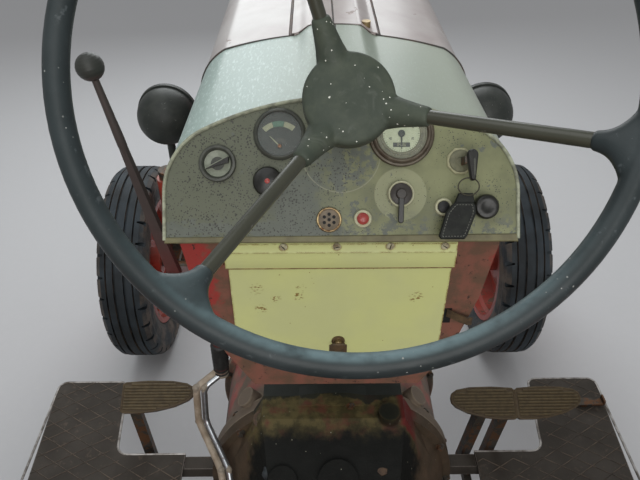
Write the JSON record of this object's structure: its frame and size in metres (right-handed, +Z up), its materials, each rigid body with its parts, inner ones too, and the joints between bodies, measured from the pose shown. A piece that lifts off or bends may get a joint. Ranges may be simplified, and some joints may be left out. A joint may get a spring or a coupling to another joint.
{
  "type": "vintage tractor",
  "caption": "Small vintage farm tractor with open driving place, dash cowl, butterfly bonnet, lugged rear wheels and steered front wheels.",
  "frame": {"origin": "middle of the bounding box, on the ground under the wheels", "axes": "+Y forward along the tractor, +X to the right-hand side, +Z up"},
  "size_m": [1.558, 2.88, 1.92],
  "materials": {
    "cast_dark": "greasy dark brown cast iron",
    "cast_red": "worn red-brown paint on castings",
    "red_paint": "faded red paint",
    "rim_red": "red wheel paint with dirt",
    "cowl_grey": "weathered grey paint",
    "dash_grey": "worn cream-grey paint",
    "lid_cream": "pale cream paint",
    "rust_red": "rusty red paint",
    "gauge": "black instruments with chrome rings",
    "leather": "dark leather fob and black key head",
    "wheel_black": "worn dark grey coating on a steel wheel",
    "steel_dark": "bare and dirty steel",
    "tread_steel": "worn dark paint on tread plate",
    "tyre": "aged rubber",
    "black_paint": "black satin paint",
    "rad_black": "matt black paint",
    "alu": "dull cast aluminium",
    "tail_red": "red lens"
  },
  "bodies": {
    "chassis": {"gearbox": "cast_dark", "clutch_housing": "cast_red", "axle_housing": "cast_dark", "engine": "cast_red", "cylinder_head": "cast_dark", "manifold": "steel_dark", "injection_pump": "alu", "generator": "black_paint", "radiator": "rad_black", "front_support": "cast_red", "front_axle": "red_paint", "bonnet_band": "red_paint", "grille": "red_paint", "cowl": "cowl_grey", "dash_panel": "dash_grey", "instruments": "gauge", "key_fob": "leather", "toolbox": "rust_red", "steering_box": "cast_dark", "headlamps": "black_paint", "fuel_tank": "rust_red", "exhaust": "steel_dark", "fenders": "red_paint", "foot_plates": "tread_steel", "pedals": "steel_dark", "levers": "black_paint", "seat": "rust_red", "seat_spring": "steel_dark", "tow_hitch": "cast_dark", "pto_shaft": "steel_dark", "tail_lamps": "tail_red"},
    "rear_wheel_left": {"rear_wheel_left": "rim_red", "rear_tyre_left": "tyre"},
    "rear_wheel_right": {"rear_wheel_right": "rim_red", "rear_tyre_right": "tyre"},
    "front_wheel_left": {"front_wheel_left": "rim_red", "front_tyre_left": "tyre"},
    "front_wheel_right": {"front_wheel_right": "rim_red", "front_tyre_right": "tyre"},
    "knuckle_left": {"knuckle_left": "steel_dark"},
    "knuckle_right": {"knuckle_right": "steel_dark"},
    "track_rod": {"track_rod": "steel_dark"},
    "drop_arm": {"drop_arm": "steel_dark"},
    "drag_link": {"drag_link": "steel_dark"},
    "steering_wheel": {"steering_wheel": "wheel_black"},
    "toolbox_lid": {"toolbox_lid": "lid_cream"},
    "bonnet_left": {"bonnet_left": "red_paint"},
    "bonnet_right": {"bonnet_right": "red_paint"},
    "fan": {"fan": "steel_dark"}
  },
  "joints": [
    {"name": "rear_left_roll", "type": "hinge", "parent": "chassis", "child": "rear_wheel_left", "pos_m": [-0.625, -0.785, 0.61], "axis": [-1, 0, 0], "continuous": true},
    {"name": "rear_right_roll", "type": "hinge", "parent": "chassis", "child": "rear_wheel_right", "pos_m": [0.625, -0.785, 0.61], "axis": [-1, 0, 0], "continuous": true},
    {"name": "steer_left", "type": "hinge", "parent": "chassis", "child": "knuckle_left", "pos_m": [-0.49, 1.115, 0.325], "axis": [0, 0, 1], "range_deg": [-36, 36]},
    {"name": "steer_right", "type": "hinge", "parent": "chassis", "child": "knuckle_right", "pos_m": [0.49, 1.115, 0.325], "axis": [0, 0, 1], "range_deg": [-37, 37]},
    {"name": "front_left_roll", "type": "hinge", "parent": "knuckle_left", "child": "front_wheel_left", "pos_m": [-0.612, 1.115, 0.325], "axis": [-1, 0, 0], "continuous": true},
    {"name": "front_right_roll", "type": "hinge", "parent": "knuckle_right", "child": "front_wheel_right", "pos_m": [0.612, 1.115, 0.325], "axis": [-1, 0, 0], "continuous": true},
    {"name": "track_rod_turn", "type": "hinge", "parent": "knuckle_left", "child": "track_rod", "pos_m": [-0.49, 0.965, 0.428], "axis": [0, 0, 1], "range_deg": [-37, 37]},
    {"name": "drop_arm_swing", "type": "hinge", "parent": "chassis", "child": "drop_arm", "pos_m": [-0.222, 0.285, 1.11], "axis": [1, 0, 0], "range_deg": [-23.5, 23.5]},
    {"name": "drag_link_turn", "type": "hinge", "parent": "drop_arm", "child": "drag_link", "pos_m": [-0.257, 0.285, 0.88], "axis": [1, 0, 0], "range_deg": [-23.5, 23.5]},
    {"name": "steering_wheel_turn", "type": "hinge", "parent": "chassis", "child": "steering_wheel", "pos_m": [0, -0.137, 1.529], "axis": [0, -0.7986, 0.6018], "range_deg": [-473, 473]},
    {"name": "lid_open", "type": "hinge", "parent": "chassis", "child": "toolbox_lid", "pos_m": [0, 0.025, 1.212], "axis": [-1, 0, 0], "range_deg": [0, 100]},
    {"name": "bonnet_left_open", "type": "hinge", "parent": "chassis", "child": "bonnet_left", "pos_m": [-0.063, 0.741, 1.383], "axis": [0, 1, 0], "range_deg": [0, 75]},
    {"name": "bonnet_right_open", "type": "hinge", "parent": "chassis", "child": "bonnet_right", "pos_m": [0.063, 0.741, 1.383], "axis": [0, -1, 0], "range_deg": [0, 75]},
    {"name": "fan_spin", "type": "hinge", "parent": "chassis", "child": "fan", "pos_m": [0, 1.013, 0.88], "axis": [0, 1, 0], "continuous": true}
  ],
  "couplings": [
    {"joint": "steer_right", "follows": "steer_left", "ratio": 1},
    {"joint": "track_rod_turn", "follows": "steer_left", "ratio": -1},
    {"joint": "drop_arm_swing", "follows": "steer_left", "ratio": 0.6261},
    {"joint": "drag_link_turn", "follows": "steer_left", "ratio": -0.6261},
    {"joint": "steering_wheel_turn", "follows": "steer_left", "ratio": 13}
  ]
}
